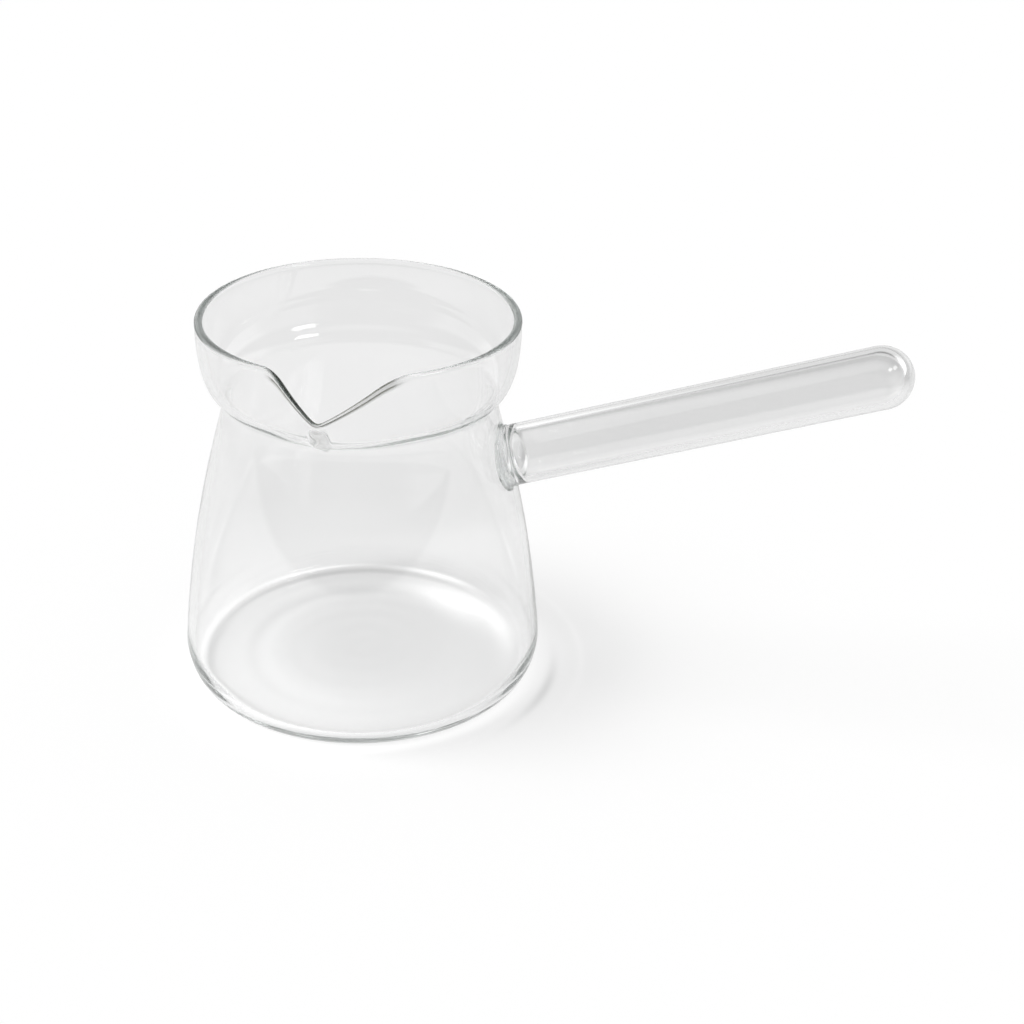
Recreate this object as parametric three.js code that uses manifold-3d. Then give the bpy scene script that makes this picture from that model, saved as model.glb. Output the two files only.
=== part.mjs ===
// Clear glass pot for Turkish coffee: a blown vessel with a pressed pouring lip,
// and a hollow glass handle that is welded to its wall.
// Millimetres, +Z up. The origin is the centre of the flat underside.
// The handle leaves the wall along +X and rises, and the lip faces -Y.
import * as THREE from 'three';
import { mergeVertices } from 'three/addons/utils/BufferGeometryUtils.js';
import Module from 'manifold-3d';

// Vessel
const POT_HEIGHT = 102;
const BELLY_RADIUS = 48.6;
const CORNER_REACH = 5.5;
const CORNER_RISE = 9;
const BASE_THICKNESS = 3;
const WALL = 2;
const WALL_LEAN = THREE.MathUtils.degToRad(5.2);
const BELLY_SHARE = 0.45;
const NECK_RADIUS = 36;
const NECK_HEIGHT = 81;
const NECK_RISE = 4.8;
const NECK_WALL = 3;
const FOLD_ROUND = 0.6;
const INNER_FOLD_ROUND = 3.6;
const COLLAR_LEAN = THREE.MathUtils.degToRad(49.3);
const COLLAR_RISE = 5;
const RIM_RADIUS = 41.6;
const RIM_WALL = 2.4;

// Pouring lip, pressed out of the collar by hand, so that its two flanks differ.
// Widths are measured along the rim. The shoulder's round is a share of a flank.
const LIP_DROP = 10.9;
const LIP_PUSH = 3.3;
const LIP_STEEP_HALF_WIDTH = 11.2;
const LIP_SLACK_HALF_WIDTH = 17.5;
const LIP_TIP_ROUND = 0.9;
const LIP_NECK_ROUND = 6.9;
const LIP_SHOULDER_ROUND = 0.3;

// Bead that the pressing tool leaves under the lip's tip, placed on the collar before the press.
const BEAD_HEIGHT = 1.2;
const BEAD_HALF_WIDTH = 3;
const BEAD_HALF_LENGTH = 8.6;
const BEAD_RISE = 9.7;
const BEAD_SLANT = THREE.MathUtils.degToRad(8);

// Handle
const TUBE_RADIUS = 8;
const TUBE_WALL = 1.7;
const TUBE_LENGTH = 101.1;
const TIP_WALL = 2.2;
const HANDLE_TILT = THREE.MathUtils.degToRad(18.5);
const HANDLE_AXIS_HEIGHT = 52.4;
const CAP_LENGTH = 1.4;
const CAP_DOME = 2;
const CAP_PLAY = 0.5;
const WELD_RADIUS = 9.2;
const WELD_LENGTH = 3.2;
const WELD_ROOT = 5;
const WELD_GAP = 0.3;

// Facets
const VESSEL_COLUMNS = 66;
const COLUMN_CROWDING = 0.75;
const HANDLE_COLUMNS = 32;
const CURVE_STEPS = 6;
const MERGE_DISTANCE = 1e-4;

const wasm = await Module();
wasm.setup();

// Every piece is the same clear borosilicate glass, with a faint grey-green edge tint.
function glass() {
  return new THREE.MeshStandardMaterial({
    color: 0xdfe7e3,
    roughness: 0.04,
    metalness: 0,
    transparent: true,
    opacity: 0.35,
  });
}

// Outline of one side of the wall in (radius, height), from the axis at the floor up to the rim.
// The belly leans in to an upright neck, which folds outwards into the collar at its top.
// The insets are taken off the outside: 0 is the outer face and a wall's thickness the inner one.
function wallOutline({ floor, inset, neckInset, foldRound, rimInset }) {
  const reach = CORNER_REACH - inset;
  const rise = CORNER_RISE - inset;
  const cornerCentre = new THREE.Vector2(BELLY_RADIUS - CORNER_REACH, floor + rise);
  const cornerEnd = Math.atan2(rise * Math.sin(WALL_LEAN), reach * Math.cos(WALL_LEAN));
  const wallFoot = new THREE.Vector2(
    cornerCentre.x + reach * Math.cos(cornerEnd),
    cornerCentre.y + rise * Math.sin(cornerEnd),
  );
  const wallRise = new THREE.Vector2(-Math.sin(WALL_LEAN), Math.cos(WALL_LEAN));
  const crease = new THREE.Vector2(NECK_RADIUS - neckInset, NECK_HEIGHT);
  const bellyReach = BELLY_SHARE * wallFoot.distanceTo(crease);
  const wallBend = wallFoot.clone().addScaledVector(wallRise, bellyReach);
  const neckBend = new THREE.Vector2(crease.x, crease.y - NECK_RISE);
  const intoNeck = neckBend.clone().sub(wallBend).normalize();
  const neckStart = neckBend.clone().addScaledVector(intoNeck, -NECK_RISE);
  const foldStart = new THREE.Vector2(crease.x, crease.y - foldRound);
  const collarRise = new THREE.Vector2(Math.sin(COLLAR_LEAN), Math.cos(COLLAR_LEAN));
  const foldEnd = crease.clone().addScaledVector(collarRise, foldRound);
  const collarBend = crease.clone().addScaledVector(collarRise, COLLAR_RISE / Math.cos(COLLAR_LEAN));
  const rim = new THREE.Vector2(RIM_RADIUS - rimInset, POT_HEIGHT - RIM_WALL / 2);

  const outline = new THREE.Path();
  outline.moveTo(0, floor);
  outline.lineTo(cornerCentre.x, floor);
  outline.absellipse(cornerCentre.x, cornerCentre.y, reach, rise, -Math.PI / 2, cornerEnd);
  outline.quadraticCurveTo(wallBend.x, wallBend.y, neckStart.x, neckStart.y);
  outline.quadraticCurveTo(neckBend.x, neckBend.y, foldStart.x, foldStart.y);
  outline.quadraticCurveTo(crease.x, crease.y, foldEnd.x, foldEnd.y);
  outline.quadraticCurveTo(collarBend.x, collarBend.y, rim.x, rim.y);
  return outline.getPoints(CURVE_STEPS);
}

function outerOutline(clearance = 0) {
  return wallOutline({
    floor: -clearance,
    inset: -clearance,
    neckInset: -clearance,
    foldRound: FOLD_ROUND,
    rimInset: -clearance,
  });
}

function innerOutline() {
  return wallOutline({
    floor: BASE_THICKNESS,
    inset: WALL,
    neckInset: NECK_WALL,
    foldRound: INNER_FOLD_ROUND,
    rimInset: RIM_WALL,
  });
}

// Fire-polished rim: a half round that joins the outer face to the inner one.
function rimOutline() {
  const rim = new THREE.Path();
  const round = RIM_WALL / 2;
  rim.absarc(RIM_RADIUS - round, POT_HEIGHT - round, round, 0, Math.PI);
  return rim.getPoints(CURVE_STEPS).slice(1, -1);
}

// Turns an outline round the Z axis. Azimuth 0 is -Y, and the seam lies at +Y.
function revolve(outline, columns) {
  const geometry = new THREE.LatheGeometry(outline, columns, -Math.PI);
  return geometry.rotateX(Math.PI / 2);
}

// Moves each vertex by its radius, its azimuth from the lip and its height.
function reshape(geometry, move) {
  const place = geometry.attributes.position;
  for (let i = 0; i < place.count; i += 1) {
    const azimuth = Math.atan2(place.getX(i), -place.getY(i));
    const radius = Math.hypot(place.getX(i), place.getY(i));
    const moved = move({ radius, azimuth, height: place.getZ(i) });
    const x = moved.radius * Math.sin(moved.azimuth);
    const y = -moved.radius * Math.cos(moved.azimuth);
    place.setXYZ(i, x, y, moved.height);
  }
  geometry.computeVertexNormals();
  return geometry;
}

// Crowds the columns of a revolved wall towards the lip, where the form is tightest.
function crowdColumns({ radius, azimuth, height }) {
  return { radius, azimuth: azimuth - COLUMN_CROWDING * Math.sin(azimuth), height };
}

// 1 at the lip's middle, falling along straight flanks to 0, with a rounded tip and shoulders.
function lipProfile(distance, halfWidth, tipRound) {
  const rounded = Math.hypot(distance, tipRound) - tipRound;
  const flank = 1 - rounded / halfWidth;
  if (flank >= LIP_SHOULDER_ROUND) return flank;
  const shoulder = Math.max(flank + LIP_SHOULDER_ROUND, 0);
  return shoulder ** 2 / (4 * LIP_SHOULDER_ROUND);
}

// Low oval swelling of the collar, by the distance along the rim and the height over the neck.
function beadProfile(distance, overNeck) {
  const fromMiddle = overNeck - BEAD_RISE;
  const across = (distance + fromMiddle * Math.tan(BEAD_SLANT)) / BEAD_HALF_WIDTH;
  const along = fromMiddle / BEAD_HALF_LENGTH;
  return Math.max(1 - across ** 2 - along ** 2, 0);
}

// Presses the lip: the rim sinks and goes out in a V, which fades to a soft fold at the neck.
function pressLip({ radius, azimuth, height }) {
  const overNeck = height - NECK_HEIGHT;
  if (overNeck <= 0) return { radius, azimuth, height };
  const rise = overNeck / (POT_HEIGHT - NECK_HEIGHT);
  const distance = azimuth * RIM_RADIUS;
  const halfWidth = azimuth < 0 ? LIP_STEEP_HALF_WIDTH : LIP_SLACK_HALF_WIDTH;
  const tipRound = THREE.MathUtils.lerp(LIP_NECK_ROUND, LIP_TIP_ROUND, rise);
  const lip = lipProfile(distance, halfWidth, tipRound);
  return {
    radius: radius + LIP_PUSH * lip * rise + BEAD_HEIGHT * beadProfile(distance, overNeck),
    azimuth,
    height: height - LIP_DROP * lip * rise,
  };
}

function vessel() {
  const outline = [...outerOutline(), ...rimOutline(), ...innerOutline().reverse()];
  const geometry = revolve(outline, VESSEL_COLUMNS);
  reshape(geometry, crowdColumns);
  return reshape(geometry, pressLip);
}

// Solid of the vessel's outside up to its collar, grown by the weld gap, for cutting the weld's foot.
function vesselCutter() {
  const outline = outerOutline(WELD_GAP);
  outline.push(new THREE.Vector2(0, outline.at(-1).y));
  return reshape(revolve(outline, VESSEL_COLUMNS), crowdColumns);
}

// Distance along the handle's axis from the vessel's axis to its outer face.
function reachOfWall() {
  const above = (point) =>
    (point.y - HANDLE_AXIS_HEIGHT) * Math.cos(HANDLE_TILT) - point.x * Math.sin(HANDLE_TILT);
  const outline = outerOutline();
  const next = outline.findIndex((point) => above(point) > 0);
  const [low, high] = [outline[next - 1], outline[next]];
  const share = above(low) / (above(low) - above(high));
  return THREE.MathUtils.lerp(low.x, high.x, share) / Math.cos(HANDLE_TILT);
}

// Places along the handle's axis, each piece a gap away from the one before it.
const wallReach = reachOfWall();
const weldEnd = wallReach + WELD_LENGTH;
const capStart = weldEnd + WELD_GAP;
const capEnd = capStart + CAP_LENGTH;
const tubeStart = capEnd + WELD_GAP;
const tubeEnd = tubeStart + TUBE_LENGTH;
const boreRadius = TUBE_RADIUS - TUBE_WALL;

const handle = new THREE.Group();
handle.position.set(0, 0, HANDLE_AXIS_HEIGHT);
handle.rotation.y = Math.PI / 2 - HANDLE_TILT;
handle.updateMatrix();

// Tube with a domed tip, open at its root.
function handleTube() {
  const outside = new THREE.Path();
  outside.moveTo(boreRadius, tubeStart);
  outside.lineTo(TUBE_RADIUS, tubeStart);
  outside.lineTo(TUBE_RADIUS, tubeEnd - TUBE_RADIUS);
  outside.absarc(0, tubeEnd - TUBE_RADIUS, TUBE_RADIUS, 0, Math.PI / 2);
  const bore = new THREE.Path();
  const domeCentre = tubeEnd - TIP_WALL - boreRadius;
  bore.absarc(0, domeCentre, boreRadius, Math.PI / 2, 0, true);
  bore.lineTo(boreRadius, tubeStart);
  return revolve([...outside.getPoints(CURVE_STEPS), ...bore.getPoints(CURVE_STEPS)], HANDLE_COLUMNS);
}

// Cap that closes the tube at its root, with a low dome that stands in the bore.
function handleRootCap() {
  const outline = new THREE.Path();
  outline.moveTo(0, capStart);
  outline.lineTo(TUBE_RADIUS, capStart);
  outline.lineTo(TUBE_RADIUS, capEnd);
  outline.lineTo(boreRadius - CAP_PLAY, capEnd);
  outline.absellipse(0, capEnd, boreRadius - CAP_PLAY, CAP_DOME, 0, Math.PI / 2);
  return revolve(outline.getPoints(CURVE_STEPS), HANDLE_COLUMNS);
}

function toSolid(geometry) {
  const bare = geometry.clone();
  bare.deleteAttribute('normal');
  bare.deleteAttribute('uv');
  const merged = mergeVertices(bare, MERGE_DISTANCE);
  const corners = merged.index.array;
  const triVerts = [];
  for (let i = 0; i < corners.length; i += 3) {
    const [a, b, c] = corners.slice(i, i + 3);
    if (a !== b && b !== c && c !== a) triVerts.push(a, b, c);
  }
  return new wasm.Manifold(new wasm.Mesh({
    numProp: 3,
    vertProperties: merged.attributes.position.array,
    triVerts: Uint32Array.from(triVerts),
  }));
}

function toGeometry(solid) {
  const mesh = solid.getMesh();
  const geometry = new THREE.BufferGeometry();
  geometry.setAttribute('position', new THREE.BufferAttribute(mesh.vertProperties, 3));
  geometry.setIndex(new THREE.BufferAttribute(mesh.triVerts, 1));
  geometry.computeVertexNormals();
  return geometry;
}

// Foot of the weld: a short flared collar of glass whose broad face follows the vessel's wall.
// Its blank starts inside the wall's outline, which then cuts it.
function weldFoot() {
  const outline = new THREE.Path();
  outline.moveTo(0, wallReach - WELD_ROOT);
  outline.lineTo(WELD_RADIUS, wallReach - WELD_ROOT);
  outline.lineTo(WELD_RADIUS, wallReach);
  outline.quadraticCurveTo(TUBE_RADIUS, wallReach, TUBE_RADIUS, weldEnd);
  outline.lineTo(0, weldEnd);
  const blank = toSolid(revolve(outline.getPoints(CURVE_STEPS), HANDLE_COLUMNS));
  const cutter = vesselCutter().applyMatrix4(handle.matrix.clone().invert());
  return toGeometry(blank.subtract(toSolid(cutter)));
}

function piece(name, geometry) {
  const mesh = new THREE.Mesh(geometry, glass());
  mesh.name = name;
  return mesh;
}

const pot = new THREE.Group();
pot.add(piece('pot_body', vessel()));
handle.add(piece('weld_foot', weldFoot()));
handle.add(piece('handle_root_cap', handleRootCap()));
handle.add(piece('handle_tube', handleTube()));
pot.add(handle);

export default pot;
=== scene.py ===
# %% [markdown]
# # A glass coffee pot with a tube handle
# The pot is one blown wall of clear heat-proof glass with a pressed pouring lip.
# A closed glass tube is welded to its side as the handle.
# Everything is in metres, in the frame of the imported CAD model, which is loaded first.
# The CAD box is kept.

import math
from functools import partial

import bpy
from mathutils import Matrix, Vector


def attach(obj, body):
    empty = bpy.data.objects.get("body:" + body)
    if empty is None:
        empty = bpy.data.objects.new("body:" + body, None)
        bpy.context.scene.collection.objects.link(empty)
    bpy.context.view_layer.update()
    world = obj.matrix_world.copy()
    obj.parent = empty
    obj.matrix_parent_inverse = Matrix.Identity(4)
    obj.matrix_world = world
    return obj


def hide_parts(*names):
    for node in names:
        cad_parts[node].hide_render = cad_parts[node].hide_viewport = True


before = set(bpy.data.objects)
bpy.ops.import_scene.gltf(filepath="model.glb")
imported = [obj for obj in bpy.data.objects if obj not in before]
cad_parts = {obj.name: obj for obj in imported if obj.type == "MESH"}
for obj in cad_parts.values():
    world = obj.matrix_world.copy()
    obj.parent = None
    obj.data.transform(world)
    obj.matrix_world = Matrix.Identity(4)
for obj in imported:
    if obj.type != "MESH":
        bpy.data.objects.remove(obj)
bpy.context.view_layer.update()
scene = bpy.context.scene
print("CAD nodes:", sorted(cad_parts))

# %% [markdown]
# ## Camera
# The picture looks down on the pot by about 28 degrees, with the handle to the right.
# The camera is set from its place and three turns, so no target object is needed.
# The focal length is written in picture widths and turned into millimetres of a 36 mm sensor.
# Light crosses many faces of a glass object, so its paths are allowed many bounces.

# %% Camera
SENSOR_WIDTH = 36.0
FOCAL_IN_PICTURE_WIDTHS = 1.7542
FOCAL_LENGTH = FOCAL_IN_PICTURE_WIDTHS * SENSOR_WIDTH
CAMERA_PLACE = Vector((0.10196, -0.41734, 0.27324))
CAMERA_PITCH = math.radians(27.99)
CAMERA_ROLL = math.radians(1.66)
CAMERA_TURN = math.radians(8.33)
LIGHT_BOUNCES = 160


def new_object(name, data):
    """An object with the given data, put into the scene."""
    made = bpy.data.objects.new(name, data)
    scene.collection.objects.link(made)
    return made


camera_data = bpy.data.cameras.new("camera")
camera_data.sensor_width = SENSOR_WIDTH
camera_data.lens = FOCAL_LENGTH
camera = new_object("camera", camera_data)
camera.matrix_world = (
    Matrix.Translation(CAMERA_PLACE)
    @ Matrix.Rotation(CAMERA_TURN, 4, "Z")
    @ Matrix.Rotation(math.pi / 2 - CAMERA_PITCH, 4, "X")
    @ Matrix.Rotation(CAMERA_ROLL, 4, "Z")
)
scene.camera = camera
for bounces in ("max_bounces", "transmission_bounces", "glossy_bounces", "transparent_max_bounces"):
    setattr(scene.cycles, bounces, LIGHT_BOUNCES)
scene.view_settings.view_transform = "Standard"
print("camera at", tuple(round(v, 3) for v in CAMERA_PLACE), "lens", round(FOCAL_LENGTH, 1))

# %% [markdown]
# ## Node helpers
# The glass pieces are shaped by Geometry Nodes and finished by shader nodes, and both kinds
# of tree are built here by script. Small helpers keep that readable: they make a node, fill
# an input, and add arithmetic, so that a formula in nodes still reads as a formula.

# %% Helpers for nodes
def feed(tree, socket, value):
    """Put a number, a vector or another node's output into an input."""
    if isinstance(value, bpy.types.NodeSocket):
        tree.links.new(value, socket)
    else:
        socket.default_value = value


def add_node(tree, kind, inputs=None, **settings):
    """Make a node, set its options and fill the named inputs."""
    node = tree.nodes.new(kind)
    for option, value in settings.items():
        setattr(node, option, value)
    for name, value in (inputs or {}).items():
        feed(tree, node.inputs[name], value)
    return node


def calc(tree, operation, *values):
    """One step of arithmetic on numbers or node outputs."""
    inputs = dict(enumerate(values))
    return add_node(tree, "ShaderNodeMath", inputs, operation=operation).outputs[0]


def step(tree, value, span, low, high, kind="SMOOTHSTEP"):
    """A number that runs from low to high while a value crosses a span."""
    start, end = span
    inputs = {"Value": value, "From Min": start, "From Max": end, "To Min": low, "To Max": high}
    node = add_node(tree, "ShaderNodeMapRange", inputs, interpolation_type=kind)
    return node.outputs["Result"]


# %% [markdown]
# Four more helpers work on places: they split a vector, put one together, scale one, and tell
# how far a point lies from the pot's axis and how far round the axis it lies from the lip.

# %% Helpers for places
def parts(tree, arrow):
    """The X, Y and Z of a vector."""
    return add_node(tree, "ShaderNodeSeparateXYZ", {0: arrow}).outputs


def vector(tree, **xyz):
    """A vector from its named parts; a part that isn't named is 0."""
    return add_node(tree, "ShaderNodeCombineXYZ", xyz).outputs["Vector"]


def scaled(tree, arrow, factor):
    """A vector made longer, shorter or turned back."""
    inputs = {0: arrow, "Scale": factor}
    return add_node(tree, "ShaderNodeVectorMath", inputs, operation="SCALE").outputs[0]


def out_and_round(tree, xyz):
    """Distance from the pot's axis, and the turn from the lip towards the handle."""
    squares = [calc(tree, "POWER", xyz[axis], 2.0) for axis in "XY"]
    towards_lip = calc(tree, "MULTIPLY", xyz["Y"], -1.0)
    return (
        calc(tree, "SQRT", calc(tree, "ADD", *squares)),
        calc(tree, "ARCTAN2", xyz["X"], towards_lip),
    )


# %% [markdown]
# ## Clear glass with a little life in it
# Blown glass is smooth, but its thickness varies: reflections bend in long soft waves, and a
# washed surface has a faint bloom. Both could be painted for each piece. They come from one
# shader group instead, which every glass of the pot uses with its own stretch: long streaks
# on the drawn tube, broad waves on the blown wall.

# %% Group for the waves and bloom of blown glass
WAVE_DETAIL = 1.0
BLOOM_SPOTS_PER_METRE = 90.0
BLOOM_DETAIL = 4.0
BLOOM_SPAN = (0.5, 0.8)

blown_glass = bpy.data.node_groups.new("blown_glass", "ShaderNodeTree")
for socket_name, socket_type in (
    ("Place", "NodeSocketVector"),
    ("Waves Per Metre", "NodeSocketFloat"),
    ("Bloom", "NodeSocketFloat"),
):
    blown_glass.interface.new_socket(socket_name, in_out="INPUT", socket_type=socket_type)
for socket_name in ("Wave", "Roughness"):
    blown_glass.interface.new_socket(socket_name, in_out="OUTPUT", socket_type="NodeSocketFloat")

group_in = add_node(blown_glass, "NodeGroupInput").outputs
wave = add_node(
    blown_glass,
    "ShaderNodeTexNoise",
    {"Vector": group_in["Place"], "Scale": group_in["Waves Per Metre"], "Detail": WAVE_DETAIL},
)
spots = add_node(
    blown_glass,
    "ShaderNodeTexNoise",
    {"Vector": group_in["Place"], "Scale": BLOOM_SPOTS_PER_METRE, "Detail": BLOOM_DETAIL},
)
bloom_patches = step(
    blown_glass, spots.outputs["Fac"], BLOOM_SPAN, 0.0, group_in["Bloom"], kind="LINEAR"
)
add_node(
    blown_glass,
    "NodeGroupOutput",
    {"Wave": wave.outputs["Fac"], "Roughness": bloom_patches},
)
print("shader group:", blown_glass.name)

# %% [markdown]
# The surface is a Principled shader that lets all light through, bent by the waves and dulled
# a little by the bloom. The drawn edge of the lip gets painted shade: a dark tint that stands in
# for the dark room that the edge mirrors. A darker glass could be set on some faces only, but its
# border would show. The lip's tree leaves an attribute there instead, and the glass mixes its
# painted shade by it. A Mix node has sockets of one name for each kind of value, so its colour
# sockets are found by number.

# %% Surface of a clear glass
GLASS_IOR = 1.474
CLEAR = (1.0, 1.0, 1.0, 1.0)
# Painted shade: a dark olive tint for the lip's drawn edge and the grey drop, in place of the dark
# room they mirror.
PAINTED_EDGE_SHADE = (0.08, 0.085, 0.06, 1.0)
PAINTED_SHADE_ATTRIBUTE = "lip_edge"
MIX_COLOUR_A, MIX_COLOUR_B, MIX_COLOUR_OUT = 6, 7, 2


def glass_surface(tree, stretch, turn, waves_per_metre, wave_depth, bloom):
    """The shader of a glass whose waves run along its own direction."""
    place = add_node(tree, "ShaderNodeTexCoord").outputs["Object"]
    along = add_node(
        tree, "ShaderNodeMapping", {"Vector": place, "Rotation": turn, "Scale": stretch}
    )
    surface = add_node(tree, "ShaderNodeGroup", node_tree=blown_glass)
    feed(tree, surface.inputs["Place"], along.outputs["Vector"])
    feed(tree, surface.inputs["Waves Per Metre"], waves_per_metre)
    feed(tree, surface.inputs["Bloom"], bloom)
    bump = add_node(
        tree,
        "ShaderNodeBump",
        {"Height": surface.outputs["Wave"], "Strength": 1.0, "Distance": wave_depth},
    )
    # The painted shade of the lip's edge and drop, read from the attribute that the lip tree
    # leaves.
    edge = add_node(tree, "ShaderNodeAttribute", attribute_name=PAINTED_SHADE_ATTRIBUTE).outputs["Fac"]
    colour = add_node(tree, "ShaderNodeMix", {"Factor": edge}, data_type="RGBA")
    feed(tree, colour.inputs[MIX_COLOUR_A], CLEAR)
    feed(tree, colour.inputs[MIX_COLOUR_B], PAINTED_EDGE_SHADE)
    return add_node(
        tree,
        "ShaderNodeBsdfPrincipled",
        {
            "Base Color": colour.outputs[MIX_COLOUR_OUT],
            "Metallic": 0.0,
            "Roughness": surface.outputs["Roughness"],
            "IOR": GLASS_IOR,
            "Transmission Weight": 1.0,
            "Normal": bump.outputs["Normal"],
        },
    ).outputs["BSDF"]


# %% [markdown]
# Light for shadows goes straight through a plain transparent surface instead. That gives the
# pale, soft shadow of thin glass at once, where traced caustics would stay grainy.
# A faint grey-green absorption fills the glass. It only shows where light travels far inside
# the wall, as along the rim.

# %% Recipe for a clear glass
GLASS_TINT = (0.45, 0.52, 0.49, 1.0)
SHADOW_CLEAR = 0.965
SHADOW_EDGE = 6.0


def glass_shadow(tree):
    """The shader that light for the floor sees: clear, and darker where the wall slants."""
    slant = add_node(tree, "ShaderNodeLayerWeight", {"Blend": 0.5}).outputs["Facing"]
    mirrored = calc(tree, "POWER", slant, SHADOW_EDGE)
    passed = calc(tree, "MULTIPLY", SHADOW_CLEAR, calc(tree, "SUBTRACT", 1.0, mirrored))
    return add_node(tree, "ShaderNodeBsdfTransparent", {"Color": passed}).outputs["BSDF"]


def clear_glass(name, density, **surface):
    """A glass material with its absorption and its own waves and bloom."""
    material = bpy.data.materials.new(name)
    material.use_nodes = True
    tree = material.node_tree
    tree.nodes.clear()
    path = add_node(tree, "ShaderNodeLightPath").outputs
    lights_floor = calc(tree, "MAXIMUM", path["Is Shadow Ray"], path["Is Diffuse Ray"])
    mixed = add_node(tree, "ShaderNodeMixShader", {"Fac": lights_floor})
    feed(tree, mixed.inputs[1], glass_surface(tree, **surface))
    feed(tree, mixed.inputs[2], glass_shadow(tree))
    tint = add_node(
        tree, "ShaderNodeVolumeAbsorption", {"Color": GLASS_TINT, "Density": density}
    )
    add_node(
        tree,
        "ShaderNodeOutputMaterial",
        {"Surface": mixed.outputs["Shader"], "Volume": tint.outputs["Volume"]},
    )
    return material


# %% [markdown]
# Three glasses come from that recipe. The blown wall has broad waves, drawn out upwards. The
# tube was drawn, so its streaks are long and lie along the handle. The weld was melted and
# pushed, so it is lumpy, and its thick glass is the darkest. Its tint is also five times denser
# than the wall's: painted shade, for the dark lines of light trapped in the weld.

# %% The three glasses
HANDLE_TILT = math.radians(18.5)
WALL_DENSITY = 3.6
# Painted shade: the weld's tint is five times denser than the wall's.
WELD_DENSITY = 18.0

pot_glass = clear_glass(
    "blown_pot_glass",
    WALL_DENSITY,
    stretch=(1.0, 1.0, 0.4),
    turn=(0.0, 0.0, 0.0),
    waves_per_metre=45.0,
    wave_depth=0.0001,
    bloom=0.02,
)
weld_glass = clear_glass(
    "melted_weld_glass",
    WELD_DENSITY,
    stretch=(1.0, 1.0, 1.0),
    turn=(0.0, 0.0, 0.0),
    waves_per_metre=70.0,
    wave_depth=0.0004,
    bloom=0.02,
)
handle_glass = clear_glass(
    "drawn_tube_glass",
    WALL_DENSITY,
    stretch=(0.08, 1.0, 1.0),
    turn=(0.0, HANDLE_TILT, 0.0),
    waves_per_metre=140.0,
    wave_depth=0.000015,
    bloom=0.03,
)
print("glass:", pot_glass.name, weld_glass.name, handle_glass.name)

# %% [markdown]
# ## Geometry trees
# The pot is made by three Geometry Nodes trees: one turns a wall, one presses the lip and one
# lays the weld on the wall. All begin with named inputs for their sizes and one for the glass.
# All end alike too: the result is made real geometry, and the glass is set on it.

# %% Start and end of a geometry tree
def new_tree(name, sizes):
    """A geometry tree with named inputs, and the outputs of the node that reads them."""
    tree = bpy.data.node_groups.new(name, "GeometryNodeTree")
    sockets = {"Geometry": "Geometry", **sizes, "Glass": "Material"}
    for socket_name, kind in sockets.items():
        tree.interface.new_socket(socket_name, in_out="INPUT", socket_type="NodeSocket" + kind)
    tree.interface.new_socket("Geometry", in_out="OUTPUT", socket_type="NodeSocketGeometry")
    return tree, add_node(tree, "NodeGroupInput").outputs


def end_tree(tree, geometry, glass):
    """Make the result real geometry with its glass on it."""
    real = add_node(tree, "GeometryNodeRealizeInstances", {"Geometry": geometry})
    coated = add_node(
        tree, "GeometryNodeSetMaterial", {"Geometry": real.outputs["Geometry"], "Material": glass}
    )
    add_node(tree, "NodeGroupOutput", {"Geometry": coated.outputs["Geometry"]})
    print("tree:", tree.name, "with", len(tree.nodes), "nodes")


def position_in(tree):
    """The place of each point that a tree works on."""
    return add_node(tree, "GeometryNodeInputPosition").outputs["Position"]


# %% [markdown]
# ## A tree that turns a profile
# Every piece of the pot is round, as if it came off a glass lathe. A Screw modifier could turn
# a profile, but a Geometry Nodes tree also lets the columns crowd towards the front, where the
# lip needs them. It makes the piece from one line of points: a grid gets one row for each
# point and one column for each step round the axis, and a formula sends each grid point to
# its place. The same tree tips the turned piece over and lifts it, which places the handle.

# %% Tree: turned glass, rows and columns
turned, lathe = new_tree(
    "turned_glass",
    {"Columns": "Int", "Crowding": "Float", "Tip Over": "Float", "Lift": "Float"},
)
on_lathe = partial(calc, turned)

points = add_node(turned, "GeometryNodeAttributeDomainSize", {"Geometry": lathe["Geometry"]})
rows = points.outputs["Point Count"]
grid = add_node(
    turned,
    "GeometryNodeMeshGrid",
    {"Vertices X": on_lathe("ADD", lathe["Columns"], 1), "Vertices Y": rows},
)
index = add_node(turned, "GeometryNodeInputIndex").outputs["Index"]
profile_point = add_node(
    turned,
    "GeometryNodeSampleIndex",
    {"Geometry": lathe["Geometry"], "Index": on_lathe("MODULO", index, rows)},
    data_type="FLOAT_VECTOR",
    domain="POINT",
)
feed(turned, profile_point.inputs["Value"], position_in(turned))
profile_xyz = parts(turned, profile_point.outputs["Value"])
print("lathe tree has a row for each point of a profile")

# %% [markdown]
# Each column gets its own turn about the axis, and sine and cosine put its points there.
# The last column lies on the first and every point of the axis on one spot, so merging them
# closes the wall.

# %% Tree: turned glass, turn and place
MERGE_DISTANCE = 1e-6

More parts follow.
